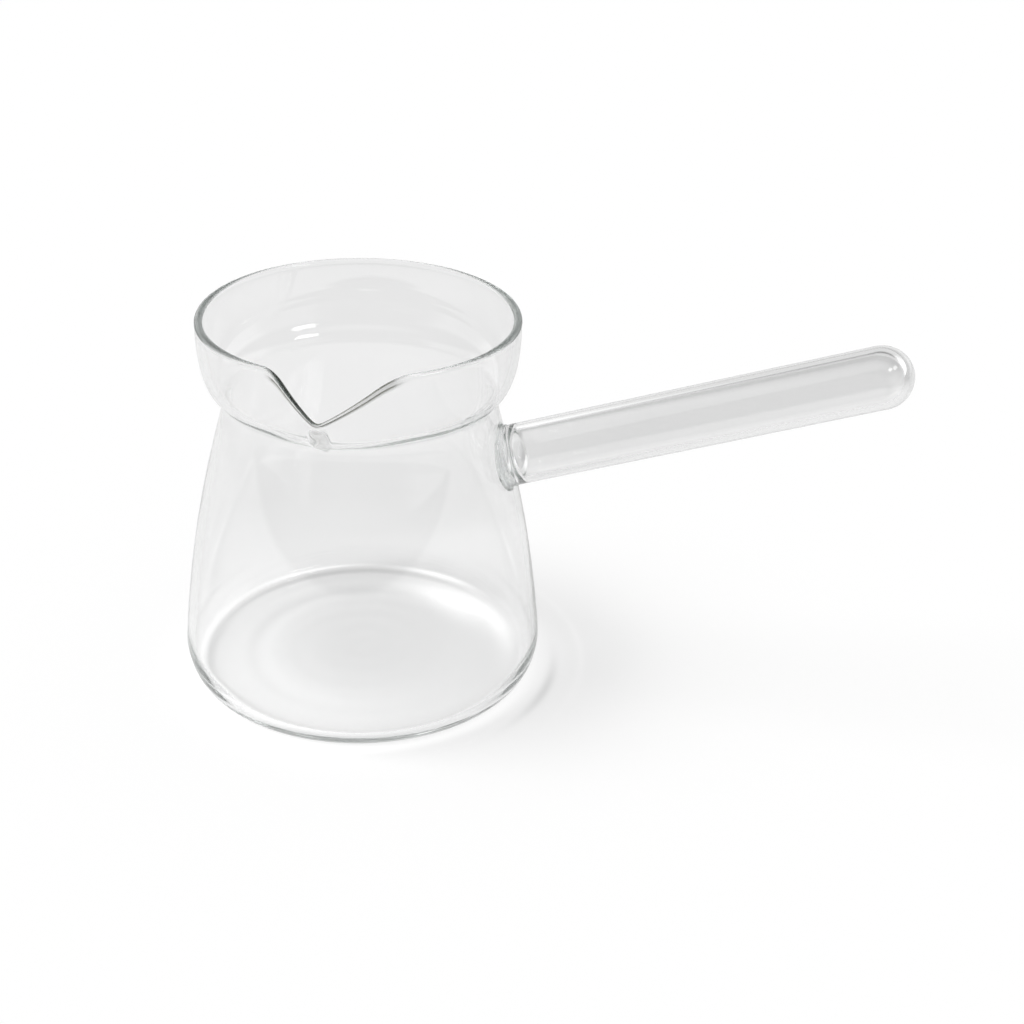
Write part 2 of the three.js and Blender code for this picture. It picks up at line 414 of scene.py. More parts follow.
column = on_lathe("FLOOR", on_lathe("DIVIDE", index, rows))
full_turn = on_lathe("MULTIPLY", on_lathe("DIVIDE", column, lathe["Columns"]), math.tau)
even_turn = on_lathe("SUBTRACT", full_turn, math.pi)
crowded = on_lathe("MULTIPLY", lathe["Crowding"], on_lathe("SINE", even_turn))
turn = on_lathe("SUBTRACT", even_turn, crowded)
radius = profile_xyz["X"]
sideways = on_lathe("MULTIPLY", radius, on_lathe("SINE", turn))
forwards = on_lathe("MULTIPLY", radius, on_lathe("COSINE", turn))
turned_grid = add_node(
    turned,
    "GeometryNodeSetPosition",
    {
        "Geometry": grid.outputs["Mesh"],
        "Position": vector(
            turned, X=sideways, Y=on_lathe("MULTIPLY", forwards, -1.0), Z=profile_xyz["Z"]
        ),
    },
)
closed = add_node(
    turned,
    "GeometryNodeMergeByDistance",
    {"Geometry": turned_grid.outputs["Geometry"], "Distance": MERGE_DISTANCE},
)
smooth = add_node(turned, "GeometryNodeSetShadeSmooth", {"Geometry": closed.outputs["Geometry"]})
tipped = add_node(
    turned,
    "GeometryNodeTransform",
    {
        "Geometry": smooth.outputs["Geometry"],
        "Translation": vector(turned, Z=lathe["Lift"]),
        "Rotation": vector(turned, Y=lathe["Tip Over"]),
    },
)
end_tree(turned, tipped.outputs["Geometry"], lathe["Glass"])

# %% [markdown]
# A piece starts as an object that holds only its profile line. A tree is added as a modifier,
# its inputs are set by their identifiers, and the evaluated result replaces the line as a
# plain mesh. The signed volume of that mesh tells whether its faces point outwards.

# %% From profile to piece
def new_piece(name, profile):
    """An object that holds a profile of radius and height."""
    mesh = bpy.data.meshes.new(name)
    line = [(i, i + 1) for i in range(len(profile) - 1)]
    mesh.from_pydata([(r, 0.0, h) for r, h in profile], line, [])
    return new_object(name, mesh)


def add_tree(piece, tree, **values):
    """Put a tree on a piece and set its inputs; words are joined by underscores."""
    modifier = piece.modifiers.new(tree.name, "NODES")
    modifier.node_group = tree
    for item in tree.interface.items_tree:
        key = item.name.replace(" ", "_").lower()
        if item.in_out == "INPUT" and key in values:
            modifier[item.identifier] = values[key]


def settle(piece):
    """Turn the modified piece into a plain mesh and report it."""
    ready = piece.evaluated_get(bpy.context.evaluated_depsgraph_get())
    mesh = bpy.data.meshes.new_from_object(ready)
    piece.modifiers.clear()
    piece.data = mesh
    mesh.calc_loop_triangles()
    volume = 0.0
    for triangle in mesh.loop_triangles:
        a, b, c = (mesh.vertices[i].co for i in triangle.vertices)
        volume += a.dot(b.cross(c)) / 6
    if volume < 0:
        mesh.flip_normals()
    print(piece.name, len(mesh.loop_triangles), "triangles,", round(abs(volume) * 1e6, 1), "cm3")


# %% [markdown]
# ## The wall of the pot
# The wall runs from the middle of the base round a tight corner and leans in to an upright
# neck. At the waist it folds outwards into a collar, which ends in the round bead of a
# fire-polished rim. Its outline is made of lines, ovals and curves, not of a list of points.

# %% Curves for profiles
def straight(start, end, steps):
    """Points on a line, without its first point."""
    return [start.lerp(end, i / steps) for i in range(1, steps + 1)]


def bend(start, corner, end, steps):
    """Points on a curve that leaves towards a corner and arrives from it, without the first."""
    shares = (i / steps for i in range(1, steps + 1))
    return [start.lerp(corner, t).lerp(corner.lerp(end, t), t) for t in shares]


def arc(centre, reach, rise, start, end, steps):
    """Points on part of an oval or a circle, without the first point."""
    angles = (start + (end - start) * i / steps for i in range(1, steps + 1))
    return [centre + Vector((reach * math.cos(a), rise * math.sin(a))) for a in angles]


# %% [markdown]
# The sizes are those of the outside. The belly leans in, the neck stands upright for a few
# millimetres, and the collar leaves the waist at a slant. The rim's bead is most of a circle,
# a little wider than the wall below it. More steps are given to the parts that bend light most.

# %% Sizes of the wall
POT_HEIGHT = 0.102
BELLY_RADIUS = 0.0486
CORNER_REACH = 0.0055
CORNER_RISE = 0.009
WALL_LEAN = math.radians(5.2)
BELLY_SHARE = 0.45
NECK_RISE = 0.0048
WAIST_RADIUS = 0.036
WAIST_HEIGHT = 0.081
WAIST_FOLD = 0.002
COLLAR_LEAN = math.radians(49.3)
COLLAR_RISE = 0.005
RIM_RADIUS = 0.0417
RIM_WALL = 0.0021
RIM_BEAD = 0.00108
FLOOR_RINGS = 6
PLAIN_FLOOR_STEPS = 12
RINGED_FLOOR_STEPS = 60
CORNER_STEPS = 18
BELLY_STEPS = 44
NECK_STEPS = 14
FOLD_STEPS = 10
COLLAR_STEPS = 36

rim_centre = Vector((RIM_RADIUS - RIM_BEAD, POT_HEIGHT - RIM_BEAD))
bead_start = -math.acos(RIM_WALL / 2 / RIM_BEAD)
print("pot", round(POT_HEIGHT * 1000), "mm high and", round(BELLY_RADIUS * 2000, 1), "mm wide")

# %% [markdown]
# One function draws either side of the wall, and the inside is the same line, set in by the
# wall. At the waist its crease also moves up, by the amount that keeps the folded glass equally
# thick. A thicker fold would act as a lens and draw dark lines round the neck. Low rings lie on
# the inner floor, where the blown base was spun.

# %% One side of the wall
def ringed_floor(floor, edge, depth):
    """Points from the axis to the corner of the floor, over low rings, without the first."""
    steps = RINGED_FLOOR_STEPS if depth else PLAIN_FLOOR_STEPS
    shares = (i / steps for i in range(1, steps + 1))
    return [
        Vector((t * edge, floor + depth * math.sin(t * FLOOR_RINGS * math.pi) ** 2))
        for t in shares
    ]


def wall_line(floor, inset, waist_inset, rim_side, ring_depth):
    """One side of the wall from the axis up to the rim, as radius and height."""
    reach = CORNER_REACH - inset
    rise = CORNER_RISE - inset
    corner_end = math.atan2(rise * math.sin(WALL_LEAN), reach * math.cos(WALL_LEAN))
    centre = Vector((BELLY_RADIUS - CORNER_REACH, floor + rise))
    foot = arc(centre, reach, rise, -math.pi / 2, corner_end, 1)[0]
    fold_shift = waist_inset * math.tan(COLLAR_LEAN / 2)
    fold = WAIST_FOLD + fold_shift
    crease = Vector((WAIST_RADIUS - waist_inset, WAIST_HEIGHT + fold_shift))
    lean = Vector((-math.sin(WALL_LEAN), math.cos(WALL_LEAN)))
    belly = foot + lean * (foot - crease).length * BELLY_SHARE
    neck = crease - Vector((0.0, NECK_RISE))
    neck_start = neck - (neck - belly).normalized() * NECK_RISE
    fold_start = crease - Vector((0.0, fold))
    outwards = Vector((math.sin(COLLAR_LEAN), math.cos(COLLAR_LEAN)))
    fold_end = crease + outwards * fold
    collar = crease + outwards * COLLAR_RISE / math.cos(COLLAR_LEAN)
    rim = rim_centre + Vector((rim_side * RIM_WALL / 2, RIM_BEAD * math.sin(bead_start)))
    line = [Vector((0.0, floor))]
    line += ringed_floor(floor, centre.x, ring_depth)
    line += arc(centre, reach, rise, -math.pi / 2, corner_end, CORNER_STEPS)
    line += bend(foot, belly, neck_start, BELLY_STEPS)
    line += bend(neck_start, neck, fold_start, NECK_STEPS)
    line += bend(fold_start, crease, fold_end, FOLD_STEPS)
    line += bend(fold_end, collar, rim, COLLAR_STEPS)
    return line


# %% [markdown]
# The whole profile goes up the outside, over the bead of the rim and down the inside. A single
# face with a Solidify modifier could stand for the wall, but its thickness would be the same
# everywhere. A closed profile gives the base, the neck and the rim their own.

# %% Profile of the wall
BASE_THICKNESS = 0.003
WALL = 0.002
WAIST_WALL = 0.0022
RING_DEPTH = 0.00005
BEAD_STEPS = 20

outside = wall_line(0.0, 0.0, 0.0, 1, 0.0)
inside = wall_line(BASE_THICKNESS, WALL, WAIST_WALL, -1, RING_DEPTH)
rim_bead = arc(rim_centre, RIM_BEAD, RIM_BEAD, bead_start, math.pi - bead_start, BEAD_STEPS)
wall_profile = outside + rim_bead[:-1] + inside[::-1]
print("wall profile:", len(wall_profile), "points")

# %% [markdown]
# ## The pouring lip
# While the glass is soft, the maker presses the rim down and out over a tool. The rim drops
# into a narrow V with a rounded tip, one flank steeper than the other. The lip could be
# sculpted, but a second tree can repeat the press as a rule: it moves each point of the collar
# by its height above the waist and by its distance round the rim from the middle of the lip.
# First the tree measures those two.

# %% Tree: pressed lip, where a point lies
LIP_SIZES = (
    "Waist Height",
    "Rim Height",
    "Rim Radius",
    "Drop",
    "Push",
    "Wall Thinning",
    "Rim Thinning",
    "Steep Half Width",
    "Slack Half Width",
    "Tip Round",
    "Waist Round",
    "Shoulder Round",
    "Bead Height",
    "Bead Half Width",
    "Bead Rise",
    "Bead Half Length",
    "Bead Fullness",
)
NOT_ON_AXIS = 1e-4

lip_tree, lip = new_tree("pressed_lip", {size: "Float" for size in LIP_SIZES})
on_lip = partial(calc, lip_tree)
lip_step = partial(step, lip_tree)

lip_place = parts(lip_tree, position_in(lip_tree))
lip_out, lip_round = out_and_round(lip_tree, lip_place)
from_axis = on_lip("MAXIMUM", lip_out, NOT_ON_AXIS)
along_rim = on_lip("MULTIPLY", lip_round, lip["Rim Radius"])
over_waist = on_lip("SUBTRACT", lip_place["Z"], lip["Waist Height"])
collar_height = on_lip("SUBTRACT", lip["Rim Height"], lip["Waist Height"])
rise = on_lip("MAXIMUM", on_lip("DIVIDE", over_waist, collar_height), 0.0)
print("lip tree measures the rise above the waist and the way round the rim")

# %% [markdown]
# The press is 1 in the middle of the V and 0 beyond its shoulders. A straight slope would
# give sharp creases, so the tip is rounded as a hyperbola, more so lower down, and the
# shoulders are eased as parabolas.

# %% Tree: pressed lip, the V
on_slack_side = on_lip("GREATER_THAN", lip_round, 0.0)
more_width = on_lip("SUBTRACT", lip["Slack Half Width"], lip["Steep Half Width"])
half_width = on_lip(
    "ADD", lip["Steep Half Width"], on_lip("MULTIPLY", on_slack_side, more_width)
)
below_rim = on_lip("MAXIMUM", on_lip("SUBTRACT", 1.0, rise), 0.0)
tip_round = on_lip("ADD", lip["Tip Round"], on_lip("MULTIPLY", lip["Waist Round"], below_rim))
along_squared = on_lip("MULTIPLY", along_rim, along_rim)
round_squared = on_lip("POWER", tip_round, 2.0)
hyperbola = on_lip("SQRT", on_lip("ADD", along_squared, round_squared))
rounded = on_lip("SUBTRACT", hyperbola, tip_round)
flank = on_lip("SUBTRACT", 1.0, on_lip("DIVIDE", rounded, half_width))
in_shoulder = on_lip("MAXIMUM", on_lip("ADD", flank, lip["Shoulder Round"]), 0.0)
eased = on_lip(
    "DIVIDE",
    on_lip("POWER", in_shoulder, 2.0),
    on_lip("MULTIPLY", lip["Shoulder Round"], 4.0),
)
is_flank = on_lip("GREATER_THAN", flank, lip["Shoulder Round"])
press = on_lip(
    "ADD", eased, on_lip("MULTIPLY", is_flank, on_lip("SUBTRACT", flank, eased))
)
pressed_rise = on_lip("MULTIPLY", press, rise)
print("lip tree has its V")

# %% [markdown]
# Under the lip a solid drop of glass stands on the outer face, down to the waist, where the
# tool pulled the glass together. It is a blunt mound: round across, and fuller along. Only
# faces that look outwards carry it, so the inside of the wall stays smooth.

# %% Tree: pressed lip, the drop of glass
normal = add_node(lip_tree, "GeometryNodeInputNormal").outputs["Normal"]
faces = parts(lip_tree, normal)
outward_x = on_lip("MULTIPLY", faces["X"], lip_place["X"])
outward_y = on_lip("MULTIPLY", faces["Y"], lip_place["Y"])
faces_out = on_lip("DIVIDE", on_lip("ADD", outward_x, outward_y), from_axis)
on_outside = on_lip("GREATER_THAN", faces_out, 0.0)

beside_bead = on_lip("DIVIDE", along_rim, lip["Bead Half Width"])
from_middle = on_lip("SUBTRACT", over_waist, lip["Bead Rise"])
along_bead = on_lip("DIVIDE", from_middle, lip["Bead Half Length"])
off_bead = on_lip(
    "ADD",
    on_lip("MULTIPLY", beside_bead, beside_bead),
    on_lip("POWER", along_bead, 4.0),
)
in_bead = on_lip("SUBTRACT", 1.0, off_bead)
mound = on_lip("POWER", on_lip("MAXIMUM", in_bead, 0.0), lip["Bead Fullness"])
bead = on_lip("MULTIPLY", on_lip("MULTIPLY", on_outside, lip["Bead Height"]), mound)
print("lip tree has its drop of glass")

# %% [markdown]
# Seen along its drawn edge, the lip shows dark lines on both sides of a light core, where it
# mirrors the dark room, and the drop looks a little grey. Both are painted shade: the tree marks
# those faces with an attribute that the glass reads as a dark tint.
# The core is found by how far a face looks outwards: it lies between the top of the round edge
# and its outer side.

# %% Tree: pressed lip, the painted shade of the edge
RIM_NECK = 0.91
RIM_NECK_SPAN = (RIM_NECK, RIM_NECK + 0.04)
CORE_STARTS = (0.35, 0.6)
CORE_ENDS = (0.95, 0.99)
EDGE_FADES_IN = (0.0, 0.12)
DROP_FADES_IN = (0.0, 0.3)
# How grey the painted shade on the outer face of the drop is.
DROP_PAINTED_SHADE = 0.25

# Painted shade: dark lines along both sides of the lip's edge, and a grey on the drop.
light_core = on_lip(
    "MULTIPLY",
    lip_step(faces_out, CORE_STARTS, 0.0, 1.0),
    lip_step(faces_out, CORE_ENDS, 1.0, 0.0),
)
on_rim = lip_step(rise, RIM_NECK_SPAN, 0.0, 1.0)
rim_sides = on_lip("MULTIPLY", on_rim, on_lip("SUBTRACT", 1.0, light_core))
painted_dark_edge = on_lip("MULTIPLY", rim_sides, lip_step(press, EDGE_FADES_IN, 0.0, 1.0))
painted_grey_drop = on_lip(
    "MULTIPLY",
    on_lip("MULTIPLY", on_outside, DROP_PAINTED_SHADE),
    lip_step(in_bead, DROP_FADES_IN, 0.0, 1.0),
)
# The painted shade is stored on the points for the glass to read.
shade_painted = add_node(
    lip_tree,
    "GeometryNodeStoreNamedAttribute",
    {
        "Geometry": lip["Geometry"],
        "Name": PAINTED_SHADE_ATTRIBUTE,
        "Value": on_lip("MAXIMUM", painted_grey_drop, painted_dark_edge),
    },
    data_type="FLOAT",
    domain="POINT",
)
print("lip tree marks", PAINTED_SHADE_ATTRIBUTE)

# %% [markdown]
# Pressing draws the glass thin, the wall more than the rim. Each face moves inwards first,
# against its normal, and then the press drops the points and pushes them out from the axis.

# %% Tree: pressed lip, thinning and press
THINNING_SPAN = (RIM_NECK - 0.04, RIM_NECK + 0.03)

thinning = lip_step(rise, THINNING_SPAN, lip["Wall Thinning"], lip["Rim Thinning"])
inwards = on_lip("MULTIPLY", pressed_rise, on_lip("MULTIPLY", thinning, -1.0))
thinned = add_node(
    lip_tree,
    "GeometryNodeSetPosition",
    {"Geometry": shade_painted.outputs["Geometry"], "Offset": scaled(lip_tree, normal, inwards)},
)
pushed = on_lip("ADD", bead, on_lip("MULTIPLY", lip["Push"], pressed_rise))
outward = on_lip("DIVIDE", pushed, from_axis)
dropped = on_lip("MULTIPLY", lip["Drop"], pressed_rise)
shift = vector(
    lip_tree,
    X=on_lip("MULTIPLY", lip_place["X"], outward),
    Y=on_lip("MULTIPLY", lip_place["Y"], outward),
    Z=on_lip("MULTIPLY", dropped, -1.0),
)
pressed = add_node(
    lip_tree,
    "GeometryNodeSetPosition",
    {"Geometry": thinned.outputs["Geometry"], "Offset": shift},
)
end_tree(lip_tree, pressed.outputs["Geometry"], lip["Glass"])

# %% [markdown]
# The two trees follow each other on the pot: first the wall is turned, then the lip is
# pressed. The columns crowd at the front, so the V stays crisp without more triangles.

# %% The pot
glass_pot = new_piece("glass_pot", wall_profile)
add_tree(glass_pot, turned, columns=288, crowding=0.75, tip_over=0.0, lift=0.0, glass=pot_glass)
add_tree(
    glass_pot,
    lip_tree,
    waist_height=WAIST_HEIGHT,
    rim_height=POT_HEIGHT,
    rim_radius=RIM_RADIUS,
    drop=0.0109,
    push=0.0033,
    wall_thinning=0.0006,
    rim_thinning=0.0003,
    steep_half_width=0.0112,
    slack_half_width=0.0175,
    tip_round=0.0009,
    waist_round=0.006,
    shoulder_round=0.3,
    bead_height=0.0009,
    bead_half_width=0.0025,
    bead_rise=0.0078,
    bead_half_length=0.009,
    bead_fullness=0.9,
    glass=pot_glass,
)
settle(glass_pot)

# %% [markdown]
# ## The handle
# The handle is a drawn tube, closed round at its far end and by a short plug at its root.
# It leans up from the side of the pot. Profiles are drawn along the handle's own axis, which
# starts on the pot's axis, so the first thing to find is where that axis leaves the wall.

# %% Places along the handle
TUBE_RADIUS = 0.008
TUBE_WALL = 0.0017
HANDLE_LIFT = 0.0524
HANDLE_REACH = 0.1063
HANDLE_TIP_OVER = math.pi / 2 - HANDLE_TILT
WELD_LENGTH = 0.0018
PLUG_LENGTH = 0.0014
SEAM = 0.00005
BORE_RADIUS = TUBE_RADIUS - TUBE_WALL


def above_axis(point):
    """Height of a profile point of the wall above the handle's axis."""
    rise_from_root = point.y - HANDLE_LIFT
    return rise_from_root * math.cos(HANDLE_TILT) - point.x * math.sin(HANDLE_TILT)


below, above = next(pair for pair in zip(outside, outside[1:]) if above_axis(pair[1]) > 0)
share = above_axis(below) / (above_axis(below) - above_axis(above))
wall_reach = below.lerp(above, share).x / math.cos(HANDLE_TILT)
plug_start = wall_reach + WELD_LENGTH
plug_end = plug_start + PLUG_LENGTH
tube_start = plug_end + SEAM
tube_end = wall_reach + HANDLE_REACH
print("handle leaves the wall", round(wall_reach * 1000, 1), "mm along its axis")

# %% [markdown]
# The tube's profile runs up the outside, over the round end and back down the bore. A bevelled
# curve could make a tube, but not one with a bore and a round end. So the lathe tree turns the
# profile and tips it over onto the handle's axis.

# %% Handle tube
TIP_WALL = 0.0022
HANDLE_COLUMNS = 96
TUBE_STEPS = 60
TIP_STEPS = 24
RING_STEPS = 4


def at(radius, along):
    """A profile point of the handle."""
    return Vector((radius, along))


def dome(radius, depth, base, steps):
    """A round end over a circle, from its edge to the axis, without the first point."""
    angles = (math.pi / 2 * i / steps for i in range(1, steps + 1))
    return [at(radius * math.cos(a), base + depth * math.sin(a)) for a in angles]


def turn_on_handle(piece):
    """Turn a profile about the handle's axis and settle it."""
    add_tree(
        piece,
        turned,
        columns=HANDLE_COLUMNS,
        crowding=0.0,
        tip_over=HANDLE_TIP_OVER,
        lift=HANDLE_LIFT,
        glass=handle_glass,
    )
    settle(piece)


tube_edge = tube_end - TUBE_RADIUS
bore_edge = tube_end - TIP_WALL - BORE_RADIUS
tube_profile = [at(BORE_RADIUS, tube_start)]
tube_profile += straight(tube_profile[-1], at(TUBE_RADIUS, tube_start), RING_STEPS)
tube_profile += straight(tube_profile[-1], at(TUBE_RADIUS, tube_edge), TUBE_STEPS)
tube_profile += dome(TUBE_RADIUS, TUBE_RADIUS, tube_edge, TIP_STEPS)
tube_profile += dome(BORE_RADIUS, BORE_RADIUS, bore_edge, TIP_STEPS)[::-1]
tube_profile += straight(at(BORE_RADIUS, bore_edge), at(BORE_RADIUS, tube_start), TUBE_STEPS)
glass_tube = new_piece("glass_tube", tube_profile)
turn_on_handle(glass_tube)

# %% [markdown]
# The plug is the solid glass that closed the tube before it was welded on. Its low dome stands
# in the bore with a little play, so no two faces touch.

# %% Root plug
PLUG_DOME = 0.002
PLUG_PLAY = 0.0005
PLUG_FACE_STEPS = 10
PLUG_SIDE_STEPS = 12
PLUG_DOME_STEPS = 20

dome_radius = BORE_RADIUS - PLUG_PLAY
plug_profile = [at(0.0, plug_start)]
plug_profile += straight(plug_profile[-1], at(TUBE_RADIUS, plug_start), PLUG_FACE_STEPS)
plug_profile += straight(plug_profile[-1], at(TUBE_RADIUS, plug_end), PLUG_SIDE_STEPS)
plug_profile += straight(plug_profile[-1], at(dome_radius, plug_end), RING_STEPS)
plug_profile += dome(dome_radius, PLUG_DOME, plug_end, PLUG_DOME_STEPS)
glass_plug = new_piece("glass_plug", plug_profile)
turn_on_handle(glass_plug)

# %% [markdown]
# ## The weld
# Where the hot tube is pushed onto the pot, a short flared foot of glass spreads on the wall.
# Its inner face has to follow the curve of the wall. A Boolean could cut it, but would leave
# ragged triangles that glass shows. So a third tree casts a ray from each point, back along
# the handle to the pot, and spaces the point between the wall and the plug.
# In the profile, height stands for that share: 0 on the wall and 1 on the plug.

# %% Tree: foot on a wall
foot_tree, foot = new_tree(
    "foot_on_wall",
    {"Wall": "Object", "Tilt": "Float", "Lift": "Float", "Outer End": "Float", "Seam": "Float"},
)
on_foot = partial(calc, foot_tree)

flat = parts(foot_tree, position_in(foot_tree))
tilt_cos = on_foot("COSINE", foot["Tilt"])
tilt_sin = on_foot("SINE", foot["Tilt"])
end_out = on_foot("MULTIPLY", foot["Outer End"], tilt_cos)
end_up = on_foot("MULTIPLY", foot["Outer End"], tilt_sin)
face_up = on_foot("ADD", end_up, on_foot("MULTIPLY", flat["X"], tilt_cos))
outer_place = vector(
    foot_tree,
    X=on_foot("SUBTRACT", end_out, on_foot("MULTIPLY", flat["X"], tilt_sin)),
    Y=flat["Y"],
    Z=on_foot("ADD", foot["Lift"], face_up),
)
back_along = scaled(foot_tree, vector(foot_tree, X=tilt_cos, Z=tilt_sin), -1.0)
wall = add_node(foot_tree, "GeometryNodeObjectInfo", {"Object": foot["Wall"]})
ray = add_node(
    foot_tree,
    "GeometryNodeRaycast",
    {
        "Target Geometry": wall.outputs["Geometry"],
        "Source Position": outer_place,
        "Ray Direction": back_along,
    },
)
step_back = on_foot(
    "MULTIPLY",
    on_foot("SUBTRACT", 1.0, flat["Z"]),
    on_foot("SUBTRACT", ray.outputs["Hit Distance"], foot["Seam"]),
)
on_wall = add_node(
    foot_tree,
    "GeometryNodeSetPosition",
    {
        "Geometry": foot["Geometry"],
        "Position": outer_place,
        "Offset": scaled(foot_tree, back_along, step_back),
    },
)
end_tree(foot_tree, on_wall.outputs["Geometry"], foot["Glass"])

# %% [markdown]
# The foot flares towards the wall, and a low ridge runs round its outer half, where the soft
# glass was squeezed.

# %% The weld foot
WELD_RADIUS = 0.0092
WELD_RIDGE = 0.0002
FLARE_SHARE = 0.1
FOOT_FACE_STEPS = 14
FLARE_STEPS = 32
OUTER_FACE_STEPS = 10


def ridge(share):
    """How far the ridge stands out at a share of the foot's length."""
    return WELD_RIDGE * math.sin(math.pi * max(0.0, 2 * share - 1)) ** 2


flare = bend(
    at(WELD_RADIUS, 0.0), at(TUBE_RADIUS, FLARE_SHARE), at(TUBE_RADIUS, 1.0), FLARE_STEPS
)
foot_profile = [at(0.0, 0.0)]
foot_profile += straight(foot_profile[-1], at(WELD_RADIUS, 0.0), FOOT_FACE_STEPS)
foot_profile += [point + at(ridge(point.y), 0.0) for point in flare]
foot_profile += straight(at(TUBE_RADIUS, 1.0), at(0.0, 1.0), OUTER_FACE_STEPS)
glass_weld = new_piece("glass_weld", foot_profile)
add_tree(
    glass_weld,
    turned,
    columns=HANDLE_COLUMNS,
    crowding=0.0,
    tip_over=0.0,
    lift=0.0,
    glass=weld_glass,
)
add_tree(
    glass_weld,
    foot_tree,
    wall=glass_pot,
    tilt=HANDLE_TILT,
    lift=HANDLE_LIFT,
    outer_end=plug_start - SEAM,
    seam=SEAM,
    glass=weld_glass,
)
settle(glass_weld)

# %% [markdown]
# ## Light gathered under the base
# The thick base gathers light on the sheet below in rings, lines and a crescent. Traced, they
# would stay grainy, so a shader group draws each as a soft band at one radius from the pot's
# axis, strongest to one side. A negative amount makes a band of shade.

# %% Group for a band of light round the base
light_band = bpy.data.node_groups.new("light_band", "ShaderNodeTree")
for socket_name in ("Out", "Round", "Radius", "Half Width", "Middle", "Narrowness", "Amount"):
    light_band.interface.new_socket(socket_name, in_out="INPUT", socket_type="NodeSocketFloat")
light_band.interface.new_socket("Light", in_out="OUTPUT", socket_type="NodeSocketFloat")
on_band = partial(calc, light_band)

band_in = add_node(light_band, "NodeGroupInput").outputs
off_radius = on_band("SUBTRACT", band_in["Out"], band_in["Radius"])
off_band = on_band("DIVIDE", off_radius, band_in["Half Width"])
bell = on_band("MULTIPLY", on_band("POWER", off_band, 2.0), -1.0)
across = on_band("EXPONENT", bell)
facing = on_band("COSINE", on_band("SUBTRACT", band_in["Round"], band_in["Middle"]))
along = on_band("POWER", on_band("MULTIPLY_ADD", facing, 0.5, 0.5), band_in["Narrowness"])
band_light = on_band("MULTIPLY", band_in["Amount"], on_band("MULTIPLY", across, along))
add_node(light_band, "NodeGroupOutput", {"Light": band_light})
print("shader group:", light_band.name)

# %% [markdown]
# ## Floor
# The pot stands on a wide white sheet, a single square just under its base. A curved backdrop
# is usual, but a flat square that glows a little stays evenly white up to the horizon. Its
# material is built up in the next cells: the gathered light first.

# %% Sheet and its gathered light
SHEET_REACH = 8.0
SHEET_DEPTH = 1e-4
GATHERED_LIGHT = (
    # what it is, radius and half width in mm, middle in degrees, narrowness, amount
    ("broad glow at the front", 32.0, 16.0, -35.0, 1.5, 0.17),
    ("bright patch at the back", 36.0, 5.5, 148.0, 24.0, 0.38),
    ("bright patch at the right", 41.0, 3.5, 122.0, 24.0, 0.32),
    ("line under the back wall", 46.5, 1.9, 164.0, 60.0, 0.45),
    ("line under the left wall", 47.5, 1.3, -150.0, 40.0, 0.25),
    ("pale ring", 27.0, 2.0, -90.0, 2.0, 0.04),
    ("dim ring round the pale one", 31.5, 1.6, -95.0, 2.0, -0.05),
    ("dim inner ring", 20.0, 1.8, -60.0, 1.0, -0.02),
    ("shade of the inner corner", 43.0, 1.6, -100.0, 0.6, -0.2),
    ("light of the outer corner", 46.8, 2.0, -40.0, 1.0, 0.22),
    ("crescent beside the base", 53.3, 1.4, 80.0, 50.0, -0.16),
    ("soft shade round the crescent", 62.0, 20.0, 98.0, 8.0, -0.06),
    ("pale line outside the crescent", 61.0, 1.2, 107.0, 20.0, 0.03),
)

corners = ((-1, -1), (1, -1), (1, 1), (-1, 1))
floor_mesh = bpy.data.meshes.new("floor")
floor_mesh.from_pydata(
    [(x * SHEET_REACH, y * SHEET_REACH, -SHEET_DEPTH) for x, y in corners], [], [(0, 1, 2, 3)]
)
floor = new_object("floor", floor_mesh)
sheet = bpy.data.materials.new("white_sheet")
sheet.use_nodes = True
sheet_tree = sheet.node_tree
sheet_tree.nodes.clear()
on_sheet = partial(calc, sheet_tree)

sheet_place = parts(sheet_tree, add_node(sheet_tree, "ShaderNodeTexCoord").outputs["Object"])
sheet_out, sheet_round = out_and_round(sheet_tree, sheet_place)
gathered = 0.0
for what, radius_mm, half_width_mm, middle, narrowness, amount in GATHERED_LIGHT:
    band = add_node(sheet_tree, "ShaderNodeGroup", node_tree=light_band, label=what)
    for socket_name, value in (
        ("Out", sheet_out),
        ("Round", sheet_round),
        ("Radius", radius_mm / 1000),
        ("Half Width", half_width_mm / 1000),
        ("Middle", math.radians(middle)),
        ("Narrowness", narrowness),
        ("Amount", amount),
    ):
        feed(sheet_tree, band.inputs[socket_name], value)
    gathered = on_sheet("ADD", gathered, band.outputs["Light"])
print("floor:", len(GATHERED_LIGHT), "bands of light")

# %% [markdown]
# Seen in or through the glass, the sheet is a little darker than for the camera and falls off
# with distance, and at the back right it is dimmer still. In mirrored light it ends before the
# front, where the room is dark. A ray that went straight through the glass has met no mirror
# yet, so its glossy depth is 0, and it sees the sheet everywhere, as the camera does.

# %% Sheet as the glass sees it
SHEET_FRONT = (-0.34, -0.3)
SHEET_NEAR = 0.44
SHEET_MIDDLE = 0.36
SHEET_NEAR_SPAN = (0.05, 0.1)
SHEET_FAR_LOSS = 0.22
SHEET_FAR_SPAN = (0.28, 0.55)
SHEET_RIGHT_LOSS = 0.06
SHEET_RIGHT_SLOPE = 0.42
SHEET_RIGHT_SPAN = (-0.03, 0.06)
SHEET_BACK_SPAN = (0.068, 0.08)
MIRRORED_ONCE = 0.5


def seen_in_glass(tree, path):
    """1 for a ray that glass has mirrored or let through."""
    return calc(tree, "MAXIMUM", path["Is Glossy Ray"], path["Is Transmission Ray"])


def straight_through(tree, path):
    """1 for a ray that glass has let through and never mirrored."""
    unmirrored = calc(tree, "LESS_THAN", path["Glossy Depth"], MIRRORED_ONCE)
    return calc(tree, "MULTIPLY", path["Is Transmission Ray"], unmirrored)


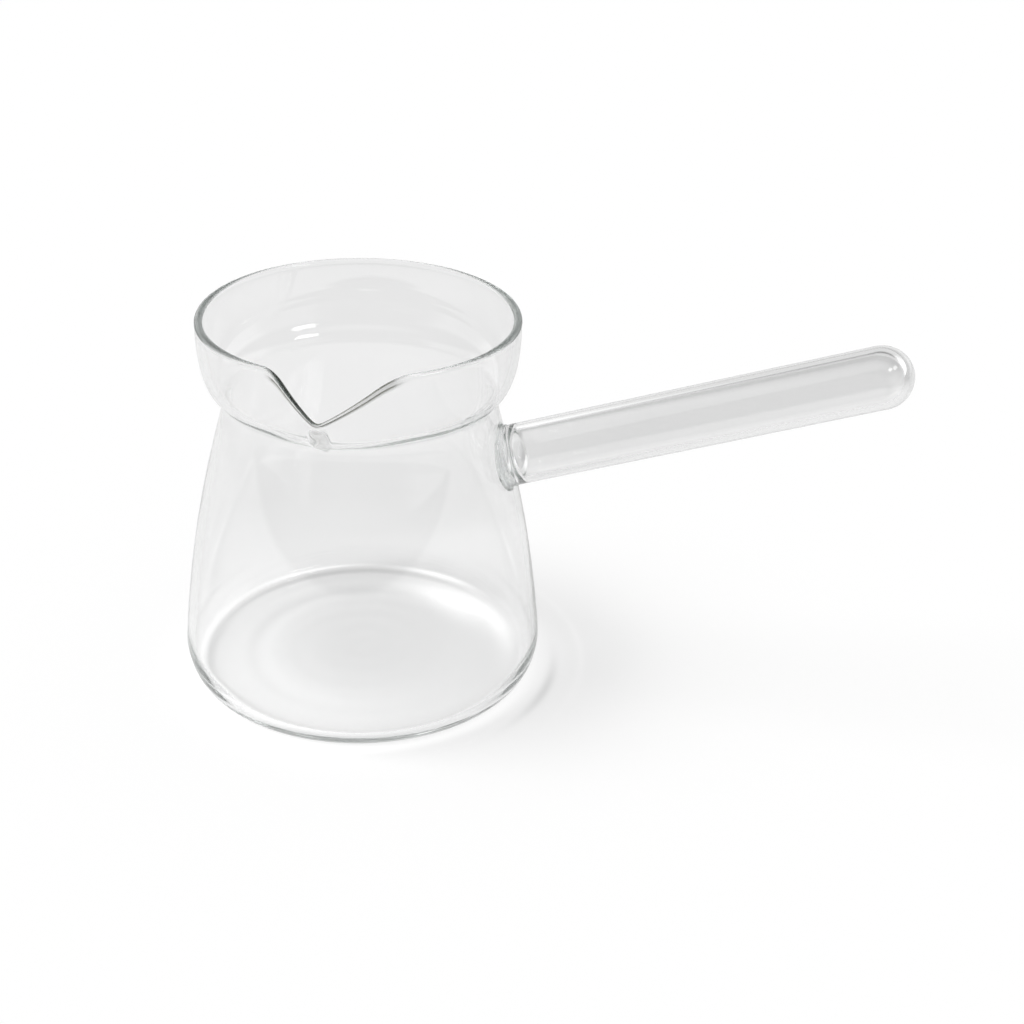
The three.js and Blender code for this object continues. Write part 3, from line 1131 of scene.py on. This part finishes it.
sheet_step = partial(step, sheet_tree, kind="LINEAR")
sheet_path = add_node(sheet_tree, "ShaderNodeLightPath").outputs
in_sheet = on_sheet(
    "MAXIMUM",
    straight_through(sheet_tree, sheet_path),
    sheet_step(sheet_place["Y"], SHEET_FRONT, 0.0, 1.0),
)
behind_handle = on_sheet("MULTIPLY_ADD", sheet_place["X"], -SHEET_RIGHT_SLOPE, sheet_place["Y"])
right_loss = on_sheet(
    "MULTIPLY",
    sheet_step(behind_handle, SHEET_BACK_SPAN, 0.0, SHEET_RIGHT_LOSS),
    sheet_step(sheet_place["X"], SHEET_RIGHT_SPAN, 0.0, 1.0),
)
far_loss = sheet_step(sheet_out, SHEET_FAR_SPAN, 0.0, SHEET_FAR_LOSS)
falling_off = on_sheet(
    "SUBTRACT",
    sheet_step(sheet_out, SHEET_NEAR_SPAN, SHEET_NEAR, SHEET_MIDDLE),
    on_sheet("ADD", far_loss, right_loss),
)
in_glass = seen_in_glass(sheet_tree, sheet_path)
glass_glow = on_sheet("MULTIPLY", in_glass, on_sheet("MULTIPLY", in_sheet, falling_off))
print("sheet glows", SHEET_NEAR, "near the pot and", SHEET_MIDDLE, "further out, seen in glass")

# %% [markdown]
# For the camera, half of the white comes from the sheet's own glow and half from the light on
# it, so the open sheet is white and the soft shadow stays on it. A wholly diffuse sheet would
# need strong lamps, which would burn out the glass.

# %% Finish of the sheet
SHEET_LIT_SHARE = 0.5

lit_share = on_sheet("MULTIPLY", in_sheet, SHEET_LIT_SHARE)
camera_glow = on_sheet(
    "MULTIPLY", sheet_path["Is Camera Ray"], on_sheet("SUBTRACT", 1.0, lit_share)
)
shown = on_sheet("ADD", sheet_path["Is Camera Ray"], in_glass)
glow_and_bands = on_sheet(
    "ADD", on_sheet("ADD", camera_glow, glass_glow), on_sheet("MULTIPLY", gathered, shown)
)
lit = add_node(sheet_tree, "ShaderNodeBsdfDiffuse", {"Color": lit_share})
glow = add_node(
    sheet_tree, "ShaderNodeEmission", {"Strength": on_sheet("MAXIMUM", glow_and_bands, 0.0)}
)
both = add_node(
    sheet_tree, "ShaderNodeAddShader", {0: lit.outputs["BSDF"], 1: glow.outputs["Emission"]}
)
add_node(sheet_tree, "ShaderNodeOutputMaterial", {"Surface": both.outputs["Shader"]})
floor_mesh.materials.append(sheet)
print("floor:", sheet.name)

# %% [markdown]
# ## Light
# The room above the sheet is dim, and that is what makes clear glass visible: each surface
# mirrors a little of the dark room over the white sheet. Pale walls to the left, to the right
# and along the horizon keep the handle and the base from turning black. The world's colour is
# worked out from the direction of a ray, so no backdrop has to be modelled.

# %% World: the dim room
ROOM_GREY = 0.06
BACKDROP_GREY = 0.26
BACKDROP_SPAN = (-0.1, 0.4)
HORIZON_GREY = 0.52
HORIZON_SPAN = (0.0, 0.3)
HORIZON_TOP = (0.34, 0.54)
LEFT_GREY = 0.65
LEFT_SPAN = (-0.5, -0.2)
RIGHT_GREY = 0.45
RIGHT_SPAN = (0.35, 0.65)
SIDES_SPAN = (-0.8, -0.5)
SIDES_TOP = (0.35, 0.6)
CEILING_GREY = 0.5
CEILING_SPAN = (0.8, 0.97)

world = bpy.data.worlds.new("studio")
world.use_nodes = True
world_tree = world.node_tree
in_room = partial(calc, world_tree)
fade = partial(step, world_tree)
towards = parts(world_tree, add_node(world_tree, "ShaderNodeTexCoord").outputs["Generated"])

room = fade(towards["Y"], BACKDROP_SPAN, ROOM_GREY, BACKDROP_GREY)
horizon = in_room(
    "MULTIPLY",
    fade(towards["Y"], HORIZON_SPAN, 0.0, HORIZON_GREY),
    fade(towards["Z"], HORIZON_TOP, 1.0, 0.0),
)
side_walls = in_room(
    "MAXIMUM",
    fade(towards["X"], LEFT_SPAN, LEFT_GREY, 0.0),
    fade(towards["X"], RIGHT_SPAN, 0.0, RIGHT_GREY),
)
side_places = in_room(
    "MULTIPLY",
    fade(towards["Y"], SIDES_SPAN, 0.0, 1.0),
    fade(towards["Z"], SIDES_TOP, 1.0, 0.0),
)
sides = in_room("MULTIPLY", side_places, side_walls)
ceiling = fade(towards["Z"], CEILING_SPAN, 0.0, CEILING_GREY)
print("room:", ROOM_GREY, "in front,", BACKDROP_GREY, "behind the pot")

# %% [markdown]
# Only the glass sees that room. The camera sees plain white, and the sheet gets a soft grey
# light from all round. A ray straight through the glass sees a pale front wall as well, so
# that the pot stays clear when it is looked at from behind.

# %% World: what each ray sees
FRONT_GREY = 0.6
FRONT_SPAN = (-0.1, 0.2)
AMBIENT_GREY = 0.3

world_path = add_node(world_tree, "ShaderNodeLightPath").outputs
front_wall = in_room(
    "MULTIPLY",
    straight_through(world_tree, world_path),
    fade(towards["Y"], FRONT_SPAN, FRONT_GREY, 0.0),
)
walls = in_room("ADD", room, in_room("MAXIMUM", sides, front_wall))
studio = in_room(
    "MULTIPLY",
    seen_in_glass(world_tree, world_path),
    in_room("ADD", walls, in_room("ADD", horizon, ceiling)),
)
ambient = in_room("MULTIPLY", world_path["Is Diffuse Ray"], AMBIENT_GREY)
background = world_tree.nodes["Background"]
feed(
    world_tree,
    background.inputs["Strength"],
    in_room("MAXIMUM", world_path["Is Camera Ray"], in_room("MAXIMUM", studio, ambient)),
)
background.inputs["Color"].default_value = CLEAR
scene.world = world
print("world:", world.name, "with", len(world_tree.nodes), "nodes")

# %% [markdown]
# A broad lamp from the upper left throws the soft shadow. Its disc would be a hard spot in the
# glass, so the glass doesn't see it. A softbox that only the glass can see draws the
# highlights instead.

# %% Lamp and softbox
LAMP_STRENGTH = 2.63
LAMP_SPREAD = math.radians(34.0)
LAMP_FROM = Vector((-0.53, -0.14, 0.84))
SOFTBOX_PLACE = Vector((0.7, -0.28, 0.85))
SOFTBOX_WIDTH = 0.3
SOFTBOX_HEIGHT = 0.2
SOFTBOX_BRIGHTNESS = 7.0


def facing_from(place):
    """The turn of a lamp that shines from a place towards the pot."""
    return place.to_track_quat("Z", "Y").to_euler()


lamp_data = bpy.data.lights.new("broad_lamp", "SUN")
lamp_data.energy = LAMP_STRENGTH
lamp_data.angle = LAMP_SPREAD
lamp = new_object("broad_lamp", lamp_data)
lamp.rotation_euler = facing_from(LAMP_FROM)
lamp.visible_glossy = False
lamp.visible_transmission = False

box_data = bpy.data.lights.new("key_softbox", "AREA")
box_data.shape = "RECTANGLE"
box_data.size = SOFTBOX_WIDTH
box_data.size_y = SOFTBOX_HEIGHT
box_data.energy = SOFTBOX_BRIGHTNESS * math.pi * SOFTBOX_WIDTH * SOFTBOX_HEIGHT
box = new_object("key_softbox", box_data)
box.location = SOFTBOX_PLACE
box.rotation_euler = facing_from(SOFTBOX_PLACE)
box.visible_diffuse = False
print("lights:", lamp.name, box.name)

# %% [markdown]
# ## Hand over
# Each glass piece stands for one CAD node, whose imported mesh is hidden, and rides on the pot's
# only body.

# %% Hand over
for piece, node, finish in (
    (glass_pot, "pot_body", "vessel_glass"),
    (glass_weld, "weld_foot", "weld_glass"),
    (glass_plug, "handle_root_cap", "handle_glass"),
    (glass_tube, "handle_tube", "handle_glass"),
):
    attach(piece, "root")
    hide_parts(node)
